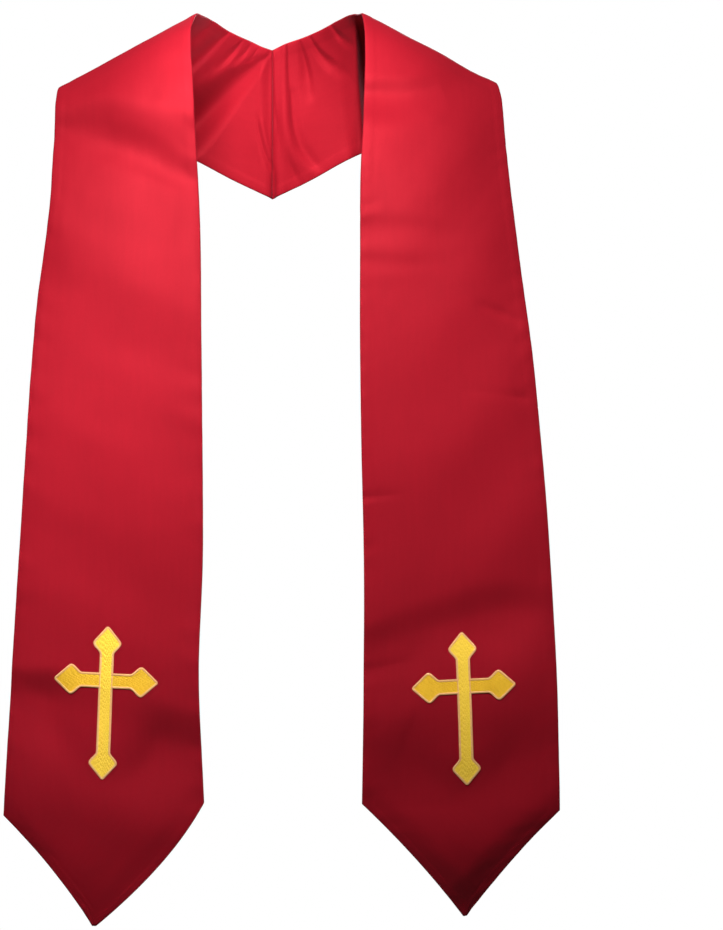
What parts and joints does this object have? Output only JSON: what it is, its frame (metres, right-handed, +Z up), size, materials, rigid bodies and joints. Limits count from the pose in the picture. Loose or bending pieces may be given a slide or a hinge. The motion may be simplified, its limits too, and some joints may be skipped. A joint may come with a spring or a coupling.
{
  "type": "choir stole",
  "caption": "Lined satin choir stole filled out as if worn: mitred seam behind the neck, strips over both shoulders, pointed hems, an embroidered budded cross near each hem.",
  "frame": {"origin": "midway between the two places where the neck edges pass over the tops of the shoulders, at their height", "axes": "+X to the wearer's left, +Y to the wearer's back, +Z up; the front panels face -Y"},
  "size_m": [0.4628, 0.2046, 0.774],
  "materials": {
    "satin": "deep red matt bridal satin, fine weave, soft broad sheen",
    "satin_lining": "the same deep red satin, used as the backing",
    "gold_thread": "golden yellow rayon embroidery thread in dense satin stitch, paler at the border"
  },
  "bodies": {
    "root": {"right_face": "satin", "right_lining": "satin_lining", "right_cross": "gold_thread", "left_face": "satin", "left_lining": "satin_lining", "left_cross": "gold_thread"}
  },
  "joints": []
}
